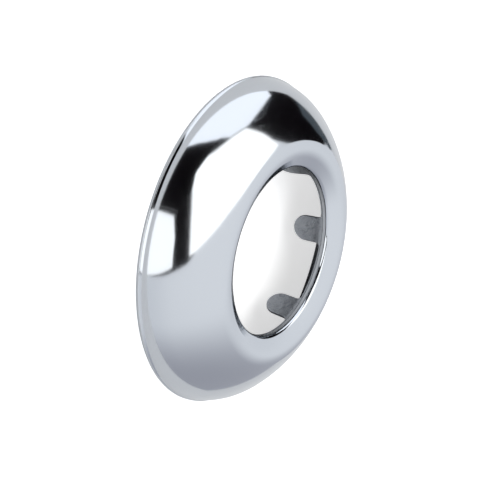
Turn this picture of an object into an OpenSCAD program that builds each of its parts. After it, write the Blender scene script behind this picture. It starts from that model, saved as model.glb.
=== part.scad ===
// Pipe rosette: the pressed cover ring that hides the wall opening round a drain pipe.
// It lies on its back rim: the wall is the plane z = 0 and the pipe runs along +Z.
// One sheet is drawn into a dome, rolled over at the hole and cut into spring tongues.

/* [Rim] */
// Outer diameter of the rim that rests on the wall
rim_d = 65; // [60:0.5:72]
// Height of the straight edge under the rim's rounding
lip_h = 0.42; // [0.3:0.02:0.8]
// Rounding at the top of the rim's edge
lip_round = 0.25; // [0.1:0.05:0.3]

/* [Dome] */
// Height of the crest above the wall
dome_h = 12; // [11:0.25:13.5]
// Thickness of the sheet
sheet_t = 0.6; // [0.4:0.05:0.7]
// Slope of the flank where it meets the rim, in degrees
foot_slope = 79; // [72:1:84]
// Slope of the flank where the tight bend of the crest begins, in degrees
shoulder_slope = 27; // [20:1:32]
// How far the flank's two arcs meet above the slope of its chord, in degrees
flank_bias = 1.5; // [-3:0.5:5]
// Radius of the crest, on the show side
crest_round = 3.9; // [2.5:0.1:4.5]
// Distance from the hole's wall out to the crest, seen from above
crest_out = 3.9; // [3.5:0.1:5]
// Slope of the straight throat between the crest and the hole, in degrees
throat_slope = 29; // [22:1:36]

/* [Collar] */
// Diameter of the hole inside the collar
hole_d = 33.4; // [32.4:0.2:36]
// Radius of the rolled edge, on the show side
roll_round = 0.95; // [0.75:0.05:1.2]
// Height of the straight collar under the rolled edge
collar_h = 0.95; // [0.6:0.05:1.6]

/* [Tongues] */
// Number of spring tongues
tongue_n = 6; // [3:1:8]
// Width of a tongue, which is also the diameter of its round tip
tongue_w = 5.3; // [4:0.1:6]
// Length of a tongue below the collar, measured along the axis
tongue_len = 5.85; // [4.5:0.05:6.6]
// How far a tongue leans in towards the pipe, in degrees
tongue_lean = 8; // [4:0.5:11]
// Radius of the bend at a tongue's root, on the pipe side
tongue_bend = 2.5; // [1:0.25:5]
// Radius of the fillets beside a tongue's root
root_fillet = 0.75; // [0.4:0.05:1]

/* [Hidden] */
$fn = 72;

// Turn between two neighbouring points of a rounded stretch, in degrees
arc_step = 6;
// How far a tongue's sheet runs up into the collar that it belongs to
merge = 0.3;
// Share of its radius that a root fillet's centre lies below the collar
fillet_drop = 0.9;

rim_r = rim_d / 2;
hole_r = hole_d / 2;
crest_r = hole_r + crest_out;

// Direction that the show side faces where its slope is s: 90 is outwards, 0 up, -90 inwards
function facing(s) = [sin(s), cos(s)];

// Point on an arc about c where the slope is s
function on_arc(c, r, s) = c + r * facing(s);

// Crest: one tight arc from the flank's shoulder to the throat
crest_c = [crest_r, dome_h - crest_round];
shoulder = on_arc(crest_c, crest_round, shoulder_slope);
throat_top = on_arc(crest_c, crest_round, -throat_slope);

// Flank: two arcs that share a tangent, from the foot at the rim up to the shoulder
foot = [rim_r - lip_round, lip_h + lip_round];
flank_run = foot.x - shoulder.x;
flank_rise = shoulder.y - foot.y;
waist_slope = atan2(flank_rise, flank_run) + flank_bias;
low_turn = facing(foot_slope) - facing(waist_slope);
high_turn = facing(waist_slope) - facing(shoulder_slope);
turn_area = low_turn.x * high_turn.y - low_turn.y * high_turn.x;
low_round = (flank_run * high_turn.y + flank_rise * high_turn.x) / turn_area;
high_round = -(flank_run * low_turn.y + flank_rise * low_turn.x) / turn_area;
low_c = foot - low_round * facing(foot_slope);
high_c = shoulder - high_round * facing(shoulder_slope);

// Throat and rolled edge
roll_top_r = hole_r + roll_round * (1 - sin(throat_slope));
throat_end = [roll_top_r, throat_top.y - (throat_top.x - roll_top_r) * tan(throat_slope)];
roll_c = throat_end - roll_round * facing(-throat_slope);
collar_z = roll_c.y - collar_h;

// Tongues: they start at the collar's lower edge
tongue_r = tongue_w / 2;
tip_z = collar_z - tongue_len;
bend_c = [hole_r - tongue_bend, collar_z];
leg_len = tongue_len + merge;

// Points on an arc about c, from one slope to another
function arc_points(c, r, from, to) =
    let (steps = ceil(abs(to - from) / arc_step))
    [for (i = [0 : steps]) on_arc(c, r, from + (to - from) * i / steps)];

// Show side of the sheet, from the rim over the crest to the collar, or the back of it
function dome_line(depth) = concat(
    arc_points(low_c, low_round - depth, foot_slope, waist_slope),
    arc_points(high_c, high_round - depth, waist_slope, shoulder_slope),
    arc_points(crest_c, crest_round - depth, shoulder_slope, -throat_slope),
    arc_points(roll_c, roll_round - depth, -throat_slope, -90));

function reversed(points) = [for (i = [len(points) - 1 : -1 : 0]) points[i]];

// Section through the sheet: the straight trimmed edge that rests on the wall, its rounding,
// the dome, the rolled edge and the collar, then back along the hidden side
module ring_section() {
    polygon(concat(
        [[rim_r, 0]],
        arc_points([rim_r - lip_round, lip_h], lip_round, 90, 0),
        dome_line(0),
        [[hole_r, collar_z], [hole_r + sheet_t, collar_z]],
        reversed(dome_line(sheet_t)),
        [[rim_r - sheet_t, 0]]));
}

// Line down one side of a tongue: it leaves the collar, bends in towards the pipe and runs on
function tongue_line(depth) = concat(
    [[hole_r + depth, collar_z + merge]],
    arc_points(bend_c, tongue_bend + depth, 90, 90 + tongue_lean),
    [on_arc(bend_c, tongue_bend + depth, 90 + tongue_lean) + leg_len * facing(180 + tongue_lean)]);

module tongue_section() {
    polygon(concat(tongue_line(0), reversed(tongue_line(sheet_t))));
}

// Outline of a tongue seen along the radius, with a round tip. The fillets beside its root rise
// a little into the collar, so that they meet the collar's lower edge at an angle
module tongue_outline() {
    top = collar_z + merge;
    fillet_c = [tongue_r + root_fillet, collar_z - fillet_drop * root_fillet];
    translate([0, tip_z + tongue_r]) circle(tongue_r);
    translate([-tongue_r, tip_z + tongue_r]) square([tongue_w, top - tip_z - tongue_r]);
    for (side = [0, 1]) mirror([side, 0]) difference() {
        translate([tongue_r, fillet_c.y]) square([root_fillet, top - fillet_c.y]);
        translate(fillet_c) circle(root_fillet);
    }
}

module tongues() {
    intersection() {
        rotate_extrude() tongue_section();
        for (i = [0 : tongue_n - 1]) rotate([0, 0, i * 360 / tongue_n])
            rotate([90, 0, 90]) linear_extrude(rim_r) tongue_outline();
    }
}

module rosette() {
    color("silver") {
        rotate_extrude() ring_section();
        tongues();
    }
}

rosette();
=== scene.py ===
"""A chrome-plated pipe rosette, lying on its back rim on a pale table in a small photo studio.

The ring is one drawn sheet: a trimmed rim, a domed flank, a tight crest, a rolled edge round the
hole, and a short collar that is cut into spring tongues. Sizes of the ring are in millimetres and
become metres when its mesh is made. The pipe's axis is +Z and the wall plane is z = 0.
"""

import logging
import math
from dataclasses import dataclass, field
from enum import Enum

import bpy
import numpy as np
from mathutils import Matrix, Vector


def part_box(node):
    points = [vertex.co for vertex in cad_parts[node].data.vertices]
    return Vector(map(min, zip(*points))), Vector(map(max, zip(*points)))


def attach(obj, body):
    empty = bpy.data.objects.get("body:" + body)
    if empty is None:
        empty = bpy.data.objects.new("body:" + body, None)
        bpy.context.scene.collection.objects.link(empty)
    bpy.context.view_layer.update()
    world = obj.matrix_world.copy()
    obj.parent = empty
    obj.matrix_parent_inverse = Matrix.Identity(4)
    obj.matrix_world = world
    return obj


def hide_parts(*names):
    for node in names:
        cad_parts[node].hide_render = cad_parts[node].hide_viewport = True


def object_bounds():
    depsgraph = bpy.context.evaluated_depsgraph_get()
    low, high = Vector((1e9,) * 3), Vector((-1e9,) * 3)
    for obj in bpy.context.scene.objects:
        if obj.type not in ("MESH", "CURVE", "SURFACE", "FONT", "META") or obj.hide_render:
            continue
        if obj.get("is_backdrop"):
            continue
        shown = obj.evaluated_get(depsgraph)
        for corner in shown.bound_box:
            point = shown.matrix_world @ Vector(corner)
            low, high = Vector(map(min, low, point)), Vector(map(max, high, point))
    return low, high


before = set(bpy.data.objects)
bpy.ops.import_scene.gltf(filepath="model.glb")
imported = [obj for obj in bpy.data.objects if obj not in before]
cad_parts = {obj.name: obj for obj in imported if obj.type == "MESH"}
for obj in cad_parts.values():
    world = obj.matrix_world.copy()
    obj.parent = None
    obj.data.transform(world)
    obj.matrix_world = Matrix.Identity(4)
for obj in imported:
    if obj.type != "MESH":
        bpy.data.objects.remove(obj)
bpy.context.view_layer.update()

MM = 0.001
NODE = "rosette"
BODY = "root"

log = logging.getLogger("rosette")


class Plating(Enum):
    """How far the plating of a stretch of sheet was polished, as the mesh stores it."""

    MIRROR = 1.0
    ROLLED = 0.8
    DULL = 0.0


def facing(slope: np.ndarray | float) -> np.ndarray:
    """Direction (r, z) that the show side faces where its slope is given.

    Args:
        slope: degrees, 90 where the sheet stands upright and faces out, 0 where it faces up and
            -90 where it faces the pipe.

    Returns:
        The unit vector (sin slope, cos slope), one row per slope.
    """
    angle = np.radians(slope)
    return np.stack([np.sin(angle), np.cos(angle)], axis=-1)


def arc(centre: np.ndarray, radius: float, start: float, stop: float, count: int) -> np.ndarray:
    """Points on a round stretch: centre + radius * facing(slope), slopes evenly spaced.

    Args:
        centre: (r, z) of the stretch's centre.
        radius: its radius, in millimetres; negative for a hollow stretch.
        start: slope at the first point, in degrees.
        stop: slope at the last point, in degrees.
        count: number of points.

    Returns:
        An array of (r, z) rows.
    """
    return centre + radius * facing(np.linspace(start, stop, count))


@dataclass(frozen=True)
class DomeLine:
    """The line that is spun round the pipe's axis to make the dome, in millimetres."""

    rim_radius: float
    height: float
    sheet: float = 0.6
    hole_radius: float = 16.7
    lip_height: float = 0.42
    lip_round: float = 0.25
    lip_hollow: float = 0.1
    foot_slope: float = 79.0
    shoulder_slope: float = 27.0
    flank_bias: float = 1.5
    crest_round: float = 3.9
    crest_out: float = 3.9
    throat_slope: float = 29.0
    roll_round: float = 0.95
    edge_round: float = 0.09
    lip_end_slope: float = 40.0
    hollow_end_slope: float = 70.0
    foot_trim: float = 1.2

    @property
    def crest_centre(self) -> np.ndarray:
        """Centre (r, z) of the crest's bend."""
        return np.array([self.hole_radius + self.crest_out, self.height - self.crest_round])

    @property
    def foot(self) -> np.ndarray:
        """Point where the flank rises from the rounding of the rim."""
        return np.array([self.rim_radius - self.lip_round, self.lip_height + self.lip_round])

    @property
    def roll_centre(self) -> np.ndarray:
        """Centre (r, z) of the rolled edge, at the lower end of the straight throat."""
        top = self.crest_centre + self.crest_round * facing(-self.throat_slope)
        end_r = self.hole_radius + self.roll_round * (1 - math.sin(math.radians(self.throat_slope)))
        end_z = top[1] - (top[0] - end_r) * math.tan(math.radians(self.throat_slope))
        return np.array([end_r, end_z]) - self.roll_round * facing(-self.throat_slope)

    def flank(self) -> tuple[float, np.ndarray, float, np.ndarray, float]:
        """The flank's two arcs, which share a tangent at the waist.

        Returns:
            The waist's slope, then centre and radius of the low arc and of the high arc. The two
            radii solve foot - shoulder = low * (turn of the low arc) + high * (turn of the high
            arc), where an arc's turn is the change of its facing direction.
        """
        shoulder = self.crest_centre + self.crest_round * facing(self.shoulder_slope)
        run, drop = self.foot - shoulder
        waist = math.degrees(math.atan2(-drop, run)) + self.flank_bias
        turns = np.stack([facing(self.foot_slope) - facing(waist),
                          facing(waist) - facing(self.shoulder_slope)], axis=1)
        low, high = np.linalg.solve(turns, np.array([run, drop]))
        return (waist, self.foot - low * facing(self.foot_slope), float(low),
                shoulder - high * facing(self.shoulder_slope), float(high))

    def show_side(self) -> np.ndarray:
        """Points of the show side, from the rim's lower corner to the end of the rolled edge."""
        waist, low_c, low, high_c, high = self.flank()
        edge_c = np.array([self.rim_radius - self.edge_round, self.edge_round])
        lip_c = np.array([self.rim_radius - self.lip_round, self.lip_height])
        hollow_c = lip_c + (self.lip_round + self.lip_hollow) * facing(self.lip_end_slope)
        return np.concatenate([
            arc(edge_c, self.edge_round, 180, 90, 4),
            arc(lip_c, self.lip_round, 90, self.lip_end_slope, 7),
            arc(hollow_c, -self.lip_hollow, self.lip_end_slope, self.hollow_end_slope, 4)[1:],
            arc(low_c, low, self.foot_slope - self.foot_trim, waist, 21),
            arc(high_c, high, waist, self.shoulder_slope, 20)[1:],
            arc(self.crest_centre, self.crest_round, self.shoulder_slope, -self.throat_slope, 26)[1:],
            arc(self.roll_centre, self.roll_round, -self.throat_slope, -90, 16),
        ])

    def hidden_side(self) -> np.ndarray:
        """Points of the back of the sheet, from the rolled edge down to the rim's inner corner."""
        waist, low_c, low, high_c, high = self.flank()
        edge_c = np.array([self.rim_radius - self.sheet + self.edge_round, self.edge_round])
        return np.concatenate([
            arc(self.roll_centre, self.roll_round - self.sheet, -90, -self.throat_slope, 8),
            arc(self.crest_centre, self.crest_round - self.sheet, -self.throat_slope,
                self.shoulder_slope, 14),
            arc(high_c, high - self.sheet, self.shoulder_slope, waist, 9)[1:],
            arc(low_c, low - self.sheet, waist, self.foot_slope, 10)[1:],
            arc(edge_c, self.edge_round, 270, 180, 4),
        ])


@dataclass(frozen=True)
class Tongues:
    """The collar's lower edge with its spring tongues, in millimetres."""

    count: int = 6
    width: float = 5.3
    length: float = 5.85
    lean: float = 8.0
    bend: float = 2.5
    fillet: float = 0.75
    collar: float = 0.95
    edge_round: float = 0.12
    gap_columns: int = 14
    gap_crowding: float = 1.4
    fillet_columns: int = 8
    side_columns: int = 7
    tip_columns: int = 13

    def edge_outline(self, gap_half: float) -> tuple[np.ndarray, np.ndarray]:
        """Free edge of half a tongue's share of the collar, unrolled flat.

        The line runs from the middle of the gap, along the collar's edge, round the fillet, down
        the tongue's straight side and round a quarter of its tip.

        Args:
            gap_half: distance along the collar from the tongue's middle to the gap's middle.

        Returns:
            Points (y, z) with z = 0 at the collar's edge, and their outward directions.
        """
        half = self.width / 2
        root = half + self.fillet
        share = np.linspace(1, 0, self.gap_columns) ** self.gap_crowding
        gap = np.stack([root + (gap_half - root) * share, 0 * share], axis=1)
        turn = np.radians(np.linspace(90, 180, self.fillet_columns))[1:]
        fillet = np.stack([root + self.fillet * np.cos(turn),
                           -self.fillet + self.fillet * np.sin(turn)], axis=1)
        fall = np.linspace(-self.fillet, half - self.length, self.side_columns)[1:]
        side = np.stack([np.full(len(fall), half), fall], axis=1)
        sweep = np.radians(np.linspace(0, -90, self.tip_columns))[1:]
        tip = np.stack([half * np.cos(sweep), half - self.length + half * np.sin(sweep)], axis=1)
        points = np.concatenate([gap, fillet, side, tip])
        outward = np.concatenate([
            np.tile([0.0, -1.0], (len(gap), 1)),
            np.stack([-np.cos(turn), -np.sin(turn)], axis=1),
            np.tile([1.0, 0.0], (len(side), 1)),
            np.stack([np.cos(sweep), np.sin(sweep)], axis=1),
        ])
        return points, outward


@dataclass
class PressedRing:
    """The whole rosette as one closed surface on a grid: columns round the axis, rows along the
    section from the rim over the crest, down the collar, round its free edge and back."""

    dome: DomeLine
    tongues: Tongues = field(default_factory=Tongues)
    root_band: float = 0.35
    collar_rows: int = 5
    tongue_rows: int = 18
    edge_rows: int = 5

    @property
    def collar_z(self) -> float:
        """Height of the collar's lower edge."""
        return float(self.dome.roll_centre[1]) - self.tongues.collar

    def columns(self) -> tuple[np.ndarray, np.ndarray, np.ndarray]:
        """Edge points and directions of every column, and the azimuth where it meets the dome.

        Returns:
            (y, z) of the free edge with y unrolled from its own tongue's middle, the outward
            directions there, and for each column (tongue's azimuth, column's offset at the root).
        """
        gap_half = self.dome.hole_radius * math.pi / self.tongues.count
        points, outward = self.tongues.edge_outline(gap_half)
        inset = points - self.tongues.edge_round * outward
        first = self.tongues.gap_columns + self.tongues.fillet_columns - 2
        along = np.r_[0, np.cumsum(np.linalg.norm(np.diff(points, axis=0), axis=1))]
        left = np.clip((along[-1] - along) / (along[-1] - along[first]), 0, 1)
        offset = np.where(left < 1, inset[first, 0] * left, inset[:, 0])
        mirror = np.array([-1.0, 1.0])
        edge = np.concatenate([points[:-1], points[::-1][:-1] * mirror])
        out = np.concatenate([outward[:-1], outward[::-1][:-1] * mirror])
        offset = np.concatenate([offset[:-1], -offset[::-1][:-1]])
        middles = 2 * math.pi * np.arange(self.tongues.count) / self.tongues.count
        size = len(edge)
        return (np.tile(edge, (self.tongues.count, 1)), np.tile(out, (self.tongues.count, 1)),
                np.stack([np.repeat(middles, size), np.tile(offset, self.tongues.count)], axis=1))

    def bent_sheet(self, middle: np.ndarray, y: np.ndarray, z: np.ndarray,
                   depth: np.ndarray | float) -> np.ndarray:
        """Places points of the collar and the tongues in space.

        Above the collar's edge the pipe side stands at the hole's radius. Below it the sheet turns
        through the bend and then leans in: r falls by bend * (1 - cos lean) in the bend and by
        tan(lean) for each millimetre after it. The depth goes into the sheet, square to it.

        Args:
            middle: azimuth of the tongue's middle.
            y: distance from that middle along the round of the hole.
            z: height above the collar's edge; negative down the tongue.
            depth: distance below the pipe side of the sheet.

        Returns:
            An array with (x, y, z) in millimetres as its last axis.
        """
        lean = math.radians(self.tongues.lean)
        bend = self.tongues.bend
        down = np.clip(-z, 0, None)
        angle = np.arcsin(np.clip(down / bend, 0, math.sin(lean)))
        past = np.clip(down - bend * math.sin(lean), 0, None)
        radius = self.dome.hole_radius - bend * (1 - np.cos(angle)) - past * math.tan(lean)
        azimuth = middle - y / self.dome.hole_radius
        radius = radius + depth * np.cos(angle)
        height = self.collar_z + z - depth * np.sin(angle)
        return np.stack([radius * np.cos(azimuth), radius * np.sin(azimuth), height], axis=-1)

    def spun(self, line: np.ndarray, azimuth: np.ndarray) -> np.ndarray:
        """Spins a line of (r, z) points: x = r cos azimuth, y = r sin azimuth, one row a point."""
        r = line[:, :1]
        z = np.broadcast_to(line[:, 1:], (len(line), len(azimuth)))
        return np.stack([r * np.cos(azimuth), r * np.sin(azimuth), z], axis=-1)

    def grid(self) -> tuple[np.ndarray, np.ndarray]:
        """All rows of the ring.

        The collar's rows run straight down at each column's own azimuth. Between the root band and
        the free edge a column runs in a straight line, on the unrolled sheet, from its place at
        the root to its place on the edge: (1 - t) * root + t * edge.

        Returns:
            Points (rows, columns, 3) in millimetres and the plating's polish for each point.
        """
        edge, out, place = self.columns()
        middle, offset = place[:, 0], place[:, 1]
        azimuth = middle - offset / self.dome.hole_radius
        inset = edge - self.tongues.edge_round * out
        root = np.stack([offset, np.full(len(offset), self.root_band)], axis=1)
        collar_top = float(self.dome.roll_centre[1]) - self.collar_z
        sheet = self.dome.sheet

        def straight(depth: float, rows: np.ndarray) -> np.ndarray:
            """Collar rows at the given heights above its edge."""
            return self.bent_sheet(middle, offset, rows[:, None] + 0 * offset, depth)

        def fanned(depth: float, shares: np.ndarray) -> np.ndarray:
            """Rows between the root band and the free edge, at the given shares of the way."""
            t = shares[:, None, None]
            flat = (1 - t) * root + t * inset
            return self.bent_sheet(middle, flat[..., 0], flat[..., 1], depth)

        def rounded(depths: np.ndarray, reaches: np.ndarray) -> np.ndarray:
            """Rows round the free edge: reach is how far they stand out from the inset line."""
            flat = inset + reaches[:, None, None] * out
            return self.bent_sheet(middle, flat[..., 0], flat[..., 1], depths[:, None])

        heights = np.linspace(collar_top, self.root_band, self.collar_rows + 2)[1:-1]
        shares = np.linspace(0, 1, self.tongue_rows)
        turn = np.radians(np.linspace(0, 90, self.edge_rows))[1:]
        corner = self.tongues.edge_round
        near_depth, near_reach = corner * (1 - np.cos(turn)), corner * np.sin(turn)
        far_depth, far_reach = (sheet - near_depth)[::-1], near_reach[::-1]
        hidden_shares = np.linspace(1, 0, self.tongue_rows // 2)
        parts = [
            (self.spun(self.dome.show_side(), azimuth), Plating.MIRROR),
            (straight(0.0, heights), Plating.ROLLED),
            (fanned(0.0, shares), Plating.DULL),
            (rounded(near_depth, near_reach), Plating.DULL),
            (rounded(far_depth, far_reach), Plating.DULL),
            (fanned(sheet, hidden_shares), Plating.DULL),
            (straight(sheet, heights[::-1][::2]), Plating.DULL),
            (self.spun(self.dome.hidden_side(), azimuth), Plating.DULL),
        ]
        points = np.concatenate([rows for rows, _ in parts])
        polish = np.concatenate([np.full(rows.shape[:2], plating.value) for rows, plating in parts])
        return points, polish

    def build(self) -> bpy.types.Object:
        """Makes the mesh: every grid cell is one quad, and both ways round the grid closes."""
        points, polish = self.grid()
        rows, cols = polish.shape
        index = np.arange(rows * cols).reshape(rows, cols)
        down = np.roll(index, -1, axis=0)
        quads = np.stack([index, np.roll(index, -1, axis=1), np.roll(down, -1, axis=1), down],
                         axis=-1).reshape(-1, 4)
        mesh = bpy.data.meshes.new("rosette_chrome")
        mesh.vertices.add(rows * cols)
        mesh.vertices.foreach_set("co", (points * MM).astype(np.float32).ravel())
        mesh.loops.add(quads.size)
        mesh.loops.foreach_set("vertex_index", quads.astype(np.int32).ravel())
        mesh.polygons.add(len(quads))
        mesh.polygons.foreach_set("loop_start", np.arange(0, quads.size, 4, dtype=np.int32))
        mesh.update(calc_edges=True)
        mesh.validate()
        mesh.shade_smooth()
        layer = mesh.attributes.new("polish", "FLOAT", "POINT")
        layer.data.foreach_set("value", polish.astype(np.float32).ravel())
        ring = bpy.data.objects.new("rosette_chrome", mesh)
        bpy.context.scene.collection.objects.link(ring)
        return ring


def wire(tree: bpy.types.NodeTree, kind: str, settings: dict | None = None,
         **inputs: object) -> bpy.types.Node:
    """Adds one node and fills its sockets.

    Args:
        tree: the node tree.
        kind: the node's type name.
        settings: properties of the node, such as its operation.
        inputs: a value or an output socket for each input, by name with _ for a space, or by
            number after the letter i.

    Returns:
        The new node.
    """
    node = tree.nodes.new(kind)
    for name, value in (settings or {}).items():
        setattr(node, name, value)
    for name, value in inputs.items():
        socket = node.inputs[int(name[1:]) if name[1:].isdigit() else name.replace("_", " ")]
        if isinstance(value, bpy.types.NodeSocket):
            tree.links.new(value, socket)
        else:
            socket.default_value = value
    return node


def new_group(name: str, inputs: dict[str, float],
              outputs: tuple[str, ...]) -> tuple[bpy.types.NodeTree, bpy.types.Node, bpy.types.Node]:
    """Makes an empty shader node group with float sockets and one vector input named Place.

    Args:
        name: the group's name.
        inputs: default value of each float input.
        outputs: names of the float outputs.

    Returns:
        The group, its input node and its output node.
    """
    tree = bpy.data.node_groups.new(name, "ShaderNodeTree")
    tree.interface.new_socket("Place", in_out="INPUT", socket_type="NodeSocketVector")
    for label, value in inputs.items():
        socket = tree.interface.new_socket(label, in_out="INPUT", socket_type="NodeSocketFloat")
        socket.default_value = value
    for label in outputs:
        tree.interface.new_socket(label, in_out="OUTPUT", socket_type="NodeSocketFloat")
    return tree, tree.nodes.new("NodeGroupInput"), tree.nodes.new("NodeGroupOutput")


def math_node(tree: bpy.types.NodeTree, operation: str, first: object,
              second: object = 0.0, third: object = 0.0) -> bpy.types.NodeSocket:
    """Adds a Math node on two or three values or sockets and returns its output."""
    return wire(tree, "ShaderNodeMath", {"operation": operation},
                i0=first, i1=second, i2=third).outputs[0]


def orange_peel() -> bpy.types.NodeTree:
    """Group: the soft unevenness that pressing and buffing leave under bright plating.

    Fine ripples a fraction of a millimetre wide ride on broad waves a few millimetres wide.
    """
    tree, source, sink = new_group("orange_peel", {"Fine": 0.3, "Broad": 1.0}, ("Height",))
    place = source.outputs["Place"]
    fine = wire(tree, "ShaderNodeTexNoise", Vector=place, Scale=1500.0, Detail=2.0)
    broad = wire(tree, "ShaderNodeTexNoise", Vector=place, Scale=190.0, Detail=1.0)
    small = math_node(tree, "MULTIPLY", fine.outputs[0], source.outputs["Fine"])
    height = math_node(tree, "MULTIPLY_ADD", broad.outputs[0], source.outputs["Broad"], small)
    tree.links.new(height, sink.inputs["Height"])
    return tree


def handling_marks() -> bpy.types.NodeTree:
    """Group: sparse hairline scuffs and a few pits, each as a mask from 0 to 1."""
    tree, source, sink = new_group("handling_marks", {"Density": 0.5}, ("Scuff", "Pit"))
    place = source.outputs["Place"]
    bent = wire(tree, "ShaderNodeTexNoise", Vector=place, Scale=90.0, Detail=2.0)
    swirl = wire(tree, "ShaderNodeVectorMath", {"operation": "MULTIPLY_ADD"},
                 i0=bent.outputs[1], i1=(0.004, 0.004, 0.004), i2=place)
    cells = wire(tree, "ShaderNodeTexVoronoi", {"feature": "DISTANCE_TO_EDGE"},
                 Vector=swirl.outputs[0], Scale=260.0)
    line = wire(tree, "ShaderNodeMapRange", Value=cells.outputs["Distance"], i1=0.0, i2=0.03,
                i3=1.0, i4=0.0)
    where = wire(tree, "ShaderNodeTexNoise", Vector=place, Scale=140.0, Detail=3.0)
    worn = math_node(tree, "GREATER_THAN", where.outputs[0],
                     math_node(tree, "SUBTRACT", 1.05, source.outputs["Density"]))
    scuff = math_node(tree, "MULTIPLY", line.outputs[0], worn)
    tree.links.new(scuff, sink.inputs["Scuff"])
    spots = wire(tree, "ShaderNodeTexVoronoi", Vector=place, Scale=330.0)
    rare = math_node(tree, "GREATER_THAN",
                     wire(tree, "ShaderNodeSeparateColor", Color=spots.outputs["Color"]).outputs[0],
                     0.985)
    dot = wire(tree, "ShaderNodeMapRange", Value=spots.outputs["Distance"], i1=0.05, i2=0.12,
               i3=1.0, i4=0.0)
    tree.links.new(math_node(tree, "MULTIPLY", dot.outputs[0], rare), sink.inputs["Pit"])
    return tree


def press_streaks_and_crease_shade() -> bpy.types.NodeTree:
    """Group: the cloudy patches and creases that bending leaves on sheet nobody polished.

    Patches are broad noise. Creases are the thin lines where a warped noise crosses its middle; the
    material paints shade into the sheet's colour along them.
    """
    tree, source, sink = new_group("press_streaks_and_crease_shade", {"Scale": 700.0}, ("Cloud", "Crease_Shade"))
    place = source.outputs["Place"]
    cloud = wire(tree, "ShaderNodeTexNoise", Vector=place, Scale=source.outputs["Scale"],
                 Detail=4.0, Roughness=0.6)
    tree.links.new(cloud.outputs[0], sink.inputs["Cloud"])
    # The crease lines: a mask used only for painted shade in the dull sheet's colour.
    finer = math_node(tree, "MULTIPLY", source.outputs["Scale"], 0.6)
    crossing = wire(tree, "ShaderNodeTexNoise", Vector=place, Scale=finer, Detail=2.0,
                    Distortion=1.5)
    gap = math_node(tree, "ABSOLUTE", math_node(tree, "SUBTRACT", crossing.outputs[0], 0.5))
    crease_shade = wire(tree, "ShaderNodeMapRange", Value=gap, i1=0.0, i2=0.025, i3=1.0, i4=0.0)
    tree.links.new(crease_shade.outputs[0], sink.inputs["Crease_Shade"])
    return tree


@dataclass(frozen=True)
class ChromePlate:
    """Bright chrome over pressed sheet: a mirror on the show side, cloudy where nobody polished."""

    mirror_tint: tuple[float, float, float, float] = (0.60, 0.625, 0.66, 1.0)
    dull_tint: tuple[float, float, float, float] = (0.42, 0.44, 0.475, 1.0)
    # Colour of the real pits and of the painted shade along the creases.
    pit_and_crease_shade_tint: tuple[float, float, float, float] = (0.20, 0.21, 0.23, 1.0)
    mirror_roughness: float = 0.1
    dull_roughness: float = 0.16
    ripple: float = 0.0000035

    def material(self) -> bpy.types.Material:
        """Builds the finish.

        The polish that the mesh stores blends the tint and the roughness from dull to mirror.
        Scuffs roughen the mirror, pits darken it, and painted shade darkens the creases of the dull
        sheet.
        """
        material = bpy.data.materials.new("chrome_plate")
        material.use_nodes = True
        tree = material.node_tree
        tree.nodes.clear()
        place = wire(tree, "ShaderNodeTexCoord").outputs["Object"]
        polish = wire(tree, "ShaderNodeAttribute", {"attribute_name": "polish"}).outputs["Fac"]
        dull = math_node(tree, "SUBTRACT", 1.0, polish)

        peel = wire(tree, "ShaderNodeGroup", {"node_tree": orange_peel()}, Place=place)
        marks = wire(tree, "ShaderNodeGroup", {"node_tree": handling_marks()}, Place=place)
        streaks = wire(tree, "ShaderNodeGroup", {"node_tree": press_streaks_and_crease_shade()}, Place=place)

        tint = wire(tree, "ShaderNodeMix", {"data_type": "RGBA"}, i0=polish,
                    i6=self.dull_tint, i7=self.mirror_tint)
        # Painted shade along the creases of the dull sheet, together with the pits' own dark colour.
        crease_shade = math_node(tree, "MULTIPLY", streaks.outputs["Crease_Shade"], dull)
        painted_crease_shade_and_pits = math_node(tree, "MAXIMUM", marks.outputs["Pit"],
                          math_node(tree, "MULTIPLY", crease_shade, 0.5))
        colour = wire(tree, "ShaderNodeMix", {"data_type": "RGBA"}, i0=painted_crease_shade_and_pits,
                      i6=tint.outputs[2], i7=self.pit_and_crease_shade_tint)

        rough = wire(tree, "ShaderNodeMapRange", Value=polish, i1=0.0, i2=1.0,
                     i3=self.dull_roughness, i4=self.mirror_roughness)
        cloudy = math_node(tree, "MULTIPLY", streaks.outputs["Cloud"],
                           math_node(tree, "MULTIPLY", dull, 0.18))
        scuffed = math_node(tree, "MULTIPLY_ADD", marks.outputs["Scuff"], 0.05, cloudy)
        roughness = math_node(tree, "ADD", rough.outputs[0], scuffed)

        uneven = math_node(tree, "MULTIPLY", streaks.outputs["Cloud"], dull)
        height = math_node(tree, "MULTIPLY_ADD", uneven, 12.0, peel.outputs["Height"])
        bump = wire(tree, "ShaderNodeBump", Height=height, Strength=1.0, Distance=self.ripple)
        shader = wire(tree, "ShaderNodeBsdfPrincipled", Base_Color=colour.outputs[2],
                      Metallic=1.0, Roughness=roughness, Normal=bump.outputs[0])
        wire(tree, "ShaderNodeOutputMaterial", Surface=shader.outputs[0])
        return material


def toward(azimuth: float, elevation: float) -> Vector:
    """Unit vector from the ring towards a direction in degrees: azimuth from +X to +Y."""
    a, e = math.radians(azimuth), math.radians(elevation)
    return Vector((math.cos(a) * math.cos(e), math.sin(a) * math.cos(e), math.sin(e)))


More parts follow.
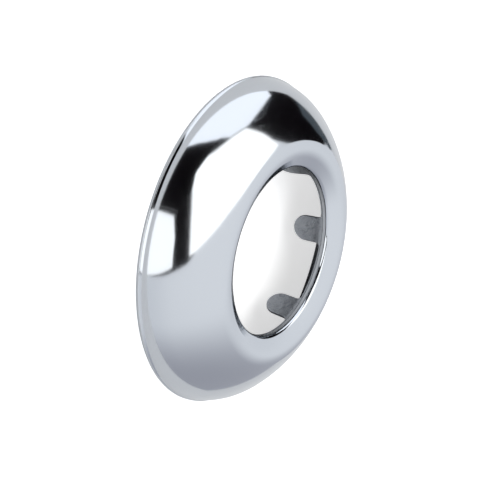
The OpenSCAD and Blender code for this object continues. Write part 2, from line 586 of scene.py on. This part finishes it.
@dataclass(frozen=True)
class Panel:
    """A flat softbox or flag of the studio, which only shows in what the ring reflects.

    It lies square to one direction, and its corners are where the ring sees them, so each corner
    is where that line of sight meets the panel's plane.
    """

    name: str
    square_to: tuple[float, float]
    distance: float
    corners: tuple[tuple[float, float], ...]
    glow: tuple[float, float, float] = (0.0, 0.0, 0.0)

    def build(self) -> bpy.types.Object:
        """Makes the panel as stage equipment with an even glow, black when it has none."""
        normal = toward(*self.square_to)
        lines = [toward(*corner) for corner in self.corners]
        points = [line * (self.distance / line.dot(normal)) for line in lines]
        mesh = bpy.data.meshes.new(self.name)
        mesh.from_pydata([tuple(point) for point in points], [], [tuple(range(len(points)))])
        panel = bpy.data.objects.new(self.name, mesh)
        bpy.context.scene.collection.objects.link(panel)
        material = bpy.data.materials.new(self.name)
        material.use_nodes = True
        material.node_tree.nodes.clear()
        light = wire(material.node_tree, "ShaderNodeEmission", Color=(*self.glow, 1.0))
        wire(material.node_tree, "ShaderNodeOutputMaterial", Surface=light.outputs[0])
        mesh.materials.append(material)
        panel.visible_camera = False
        panel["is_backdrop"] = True
        return panel


@dataclass(frozen=True)
class Studio:
    """The table, the light round it, and the softboxes and black flags beside it."""

    table_half: float = 3.0
    table_tint: float = 0.78
    table_lift: float = 0.62
    high_light: tuple[float, float, float, float] = (1.02, 1.04, 1.07, 1.0)
    low_light: tuple[float, float, float, float] = (0.86, 0.885, 0.925, 1.0)
    shade: tuple[float, float, float, float] = (0.46, 0.47, 0.52, 1.0)
    shade_toward: tuple[float, float] = (-72.0, -4.0)
    shade_edge: float = 0.45
    shade_core: float = 0.97

    def panels(self) -> tuple[Panel, ...]:
        """The softboxes and flags, each placed as the ring sees it."""
        black = (0.004, 0.003, 0.004)
        return (
            Panel("softbox_above", (90.0, 90.0), 0.75,
                  ((-172.0, 58.3), (155.0, 55.0), (116.0, 34.5), (95.0, 39.5), (60.0, 33.5),
                   (30.0, 40.0), (84.0, 79.0)), (1.9, 1.9, 1.88)),
            Panel("softbox_side", (75.0, 10.0), 0.8,
                  ((36.0, -9.0), (36.0, 8.0), (60.0, 32.5), (78.0, 37.0), (90.0, 32.0),
                   (99.0, 22.0), (108.0, 5.0), (114.0, -9.0)), (1.45, 1.5, 1.58)),
            Panel("softbox_front", (172.0, 20.0), 0.8,
                  ((153.5, -4.0), (154.0, 31.0), (170.0, 42.5), (-167.0, 44.0), (-166.0, -4.0)),
                  (1.62, 1.64, 1.64)),
            Panel("flag_left", (30.0, 15.0), 1.1,
                  ((2.0, -3.0), (2.0, 12.0), (7.0, 22.0), (14.0, 30.0), (24.0, 36.0),
                   (40.0, 40.0), (72.0, 46.0), (72.0, -12.0)), black),
            Panel("flag_middle", (100.0, 20.0), 1.15,
                  ((60.0, -14.0), (60.0, 45.0), (100.0, 52.0), (138.0, 58.0), (138.0, -14.0)),
                  black),
            Panel("flag_right", (160.0, 25.0), 1.2,
                  ((128.0, -14.0), (128.0, 56.0), (160.0, 61.0), (-172.0, 63.0), (-165.0, 56.0),
                   (-163.0, 44.0), (-166.0, -12.0)), black),
            Panel("flag_low", (8.0, 2.0), 1.0,
                  ((-3.0, -2.5), (-1.0, 4.0), (8.0, 9.0), (17.0, 9.0), (19.0, -2.5)),
                  (0.085, 0.1, 0.115)),
        )

    def table(self) -> bpy.types.Object:
        """The pale table top, white to the camera, with the ring's soft shadow left on it."""
        half = self.table_half
        mesh = bpy.data.meshes.new("table_top")
        corners = [(-half, -half, 0.0), (half, -half, 0.0), (half, half, 0.0), (-half, half, 0.0)]
        mesh.from_pydata(corners, [], [(0, 1, 2, 3)])
        top = bpy.data.objects.new("table_top", mesh)
        bpy.context.scene.collection.objects.link(top)
        material = bpy.data.materials.new("table_top")
        material.use_nodes = True
        tree = material.node_tree
        tree.nodes.clear()
        tint = self.table_tint
        paper = wire(tree, "ShaderNodeBsdfDiffuse", Color=(tint, tint, tint, 1.0))
        rays = wire(tree, "ShaderNodeLightPath")
        lift = math_node(tree, "MULTIPLY", rays.outputs["Is Camera Ray"], self.table_lift)
        light = wire(tree, "ShaderNodeEmission", Strength=lift)
        white = wire(tree, "ShaderNodeAddShader", i0=paper.outputs[0], i1=light.outputs[0])
        wire(tree, "ShaderNodeOutputMaterial", Surface=white.outputs[0])
        mesh.materials.append(material)
        top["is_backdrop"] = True
        return top

    def surround(self) -> bpy.types.World:
        """The light tent: brighter overhead, with one broad soft shade low on one side."""
        world = bpy.data.worlds.new("light_tent")
        world.use_nodes = True
        tree = world.node_tree
        tree.nodes.clear()
        way = wire(tree, "ShaderNodeTexCoord").outputs["Generated"]
        rise = wire(tree, "ShaderNodeSeparateXYZ", Vector=way).outputs["Z"]
        climb = wire(tree, "ShaderNodeMapRange", {"interpolation_type": "SMOOTHSTEP"},
                     Value=rise, i1=0.0, i2=1.0)
        tent = wire(tree, "ShaderNodeMix", {"data_type": "RGBA"}, i0=climb.outputs[0],
                    i6=self.low_light, i7=self.high_light)
        near = wire(tree, "ShaderNodeVectorMath", {"operation": "DOT_PRODUCT"}, i0=way,
                    i1=tuple(toward(*self.shade_toward)))
        depth = wire(tree, "ShaderNodeMapRange", {"interpolation_type": "SMOOTHSTEP"},
                     Value=near.outputs["Value"], i1=self.shade_edge, i2=self.shade_core)
        lit = wire(tree, "ShaderNodeMix", {"data_type": "RGBA"}, i0=depth.outputs[0],
                   i6=tent.outputs[2], i7=self.shade)
        rays = wire(tree, "ShaderNodeLightPath")
        seen = wire(tree, "ShaderNodeMix", {"data_type": "RGBA"}, i0=rays.outputs["Is Camera Ray"],
                    i6=lit.outputs[2], i7=(1.0, 1.0, 1.0, 1.0))
        light = wire(tree, "ShaderNodeBackground", Color=seen.outputs[2])
        wire(tree, "ShaderNodeOutputWorld", Surface=light.outputs[0])
        bpy.context.scene.world = world
        return world

    def build(self) -> list[bpy.types.Object]:
        """Sets up the table, the tent and every panel."""
        self.surround()
        return [self.table(), *(panel.build() for panel in self.panels())]


@dataclass(frozen=True)
class Viewpoint:
    """Where the picture is taken from: the pipe's axis points right and a little down in it."""

    azimuth: float = 158.42
    elevation: float = 31.09
    distance: float = 0.2936
    aim: tuple[float, float, float] = (0.00023, 0.00004, 0.00037)
    roll: float = -105.17
    lens: float = 112.5
    sensor: float = 36.0

    def build(self) -> bpy.types.Object:
        """Makes the camera, rolled about its line of sight from level by the given angle."""
        aim = Vector(self.aim)
        place = toward(self.azimuth, self.elevation) * self.distance
        forward = (aim - place).normalized()
        level_right = forward.cross(Vector((0.0, 0.0, 1.0))).normalized()
        level_up = level_right.cross(forward)
        turn = math.radians(self.roll)
        up = level_up * math.cos(turn) + level_right * math.sin(turn)
        right = forward.cross(up)
        data = bpy.data.cameras.new("camera")
        data.sensor_width, data.lens = self.sensor, self.lens
        data.clip_start, data.clip_end = 0.01, 20.0
        camera = bpy.data.objects.new("camera", data)
        camera.matrix_world = (Matrix.Translation(place)
                               @ Matrix((right, up, -forward)).transposed().to_4x4())
        bpy.context.scene.collection.objects.link(camera)
        bpy.context.scene.camera = camera
        return camera


def main() -> None:
    """Builds the camera, the studio and the ring."""
    bpy.context.scene.view_settings.view_transform = "Standard"
    Viewpoint().build()
    for item in Studio().build():
        log.info("stage: %s", item.name)
    _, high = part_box(NODE)
    ring = PressedRing(DomeLine(rim_radius=high.x / MM, height=high.z / MM)).build()
    ring.data.materials.append(ChromePlate().material())
    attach(ring, BODY)
    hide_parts(NODE)
    log.info("%s: %d faces", ring.name, len(ring.data.polygons))
    low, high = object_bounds()


if __name__ == "__main__":
    logging.basicConfig(level=logging.INFO)
    main()
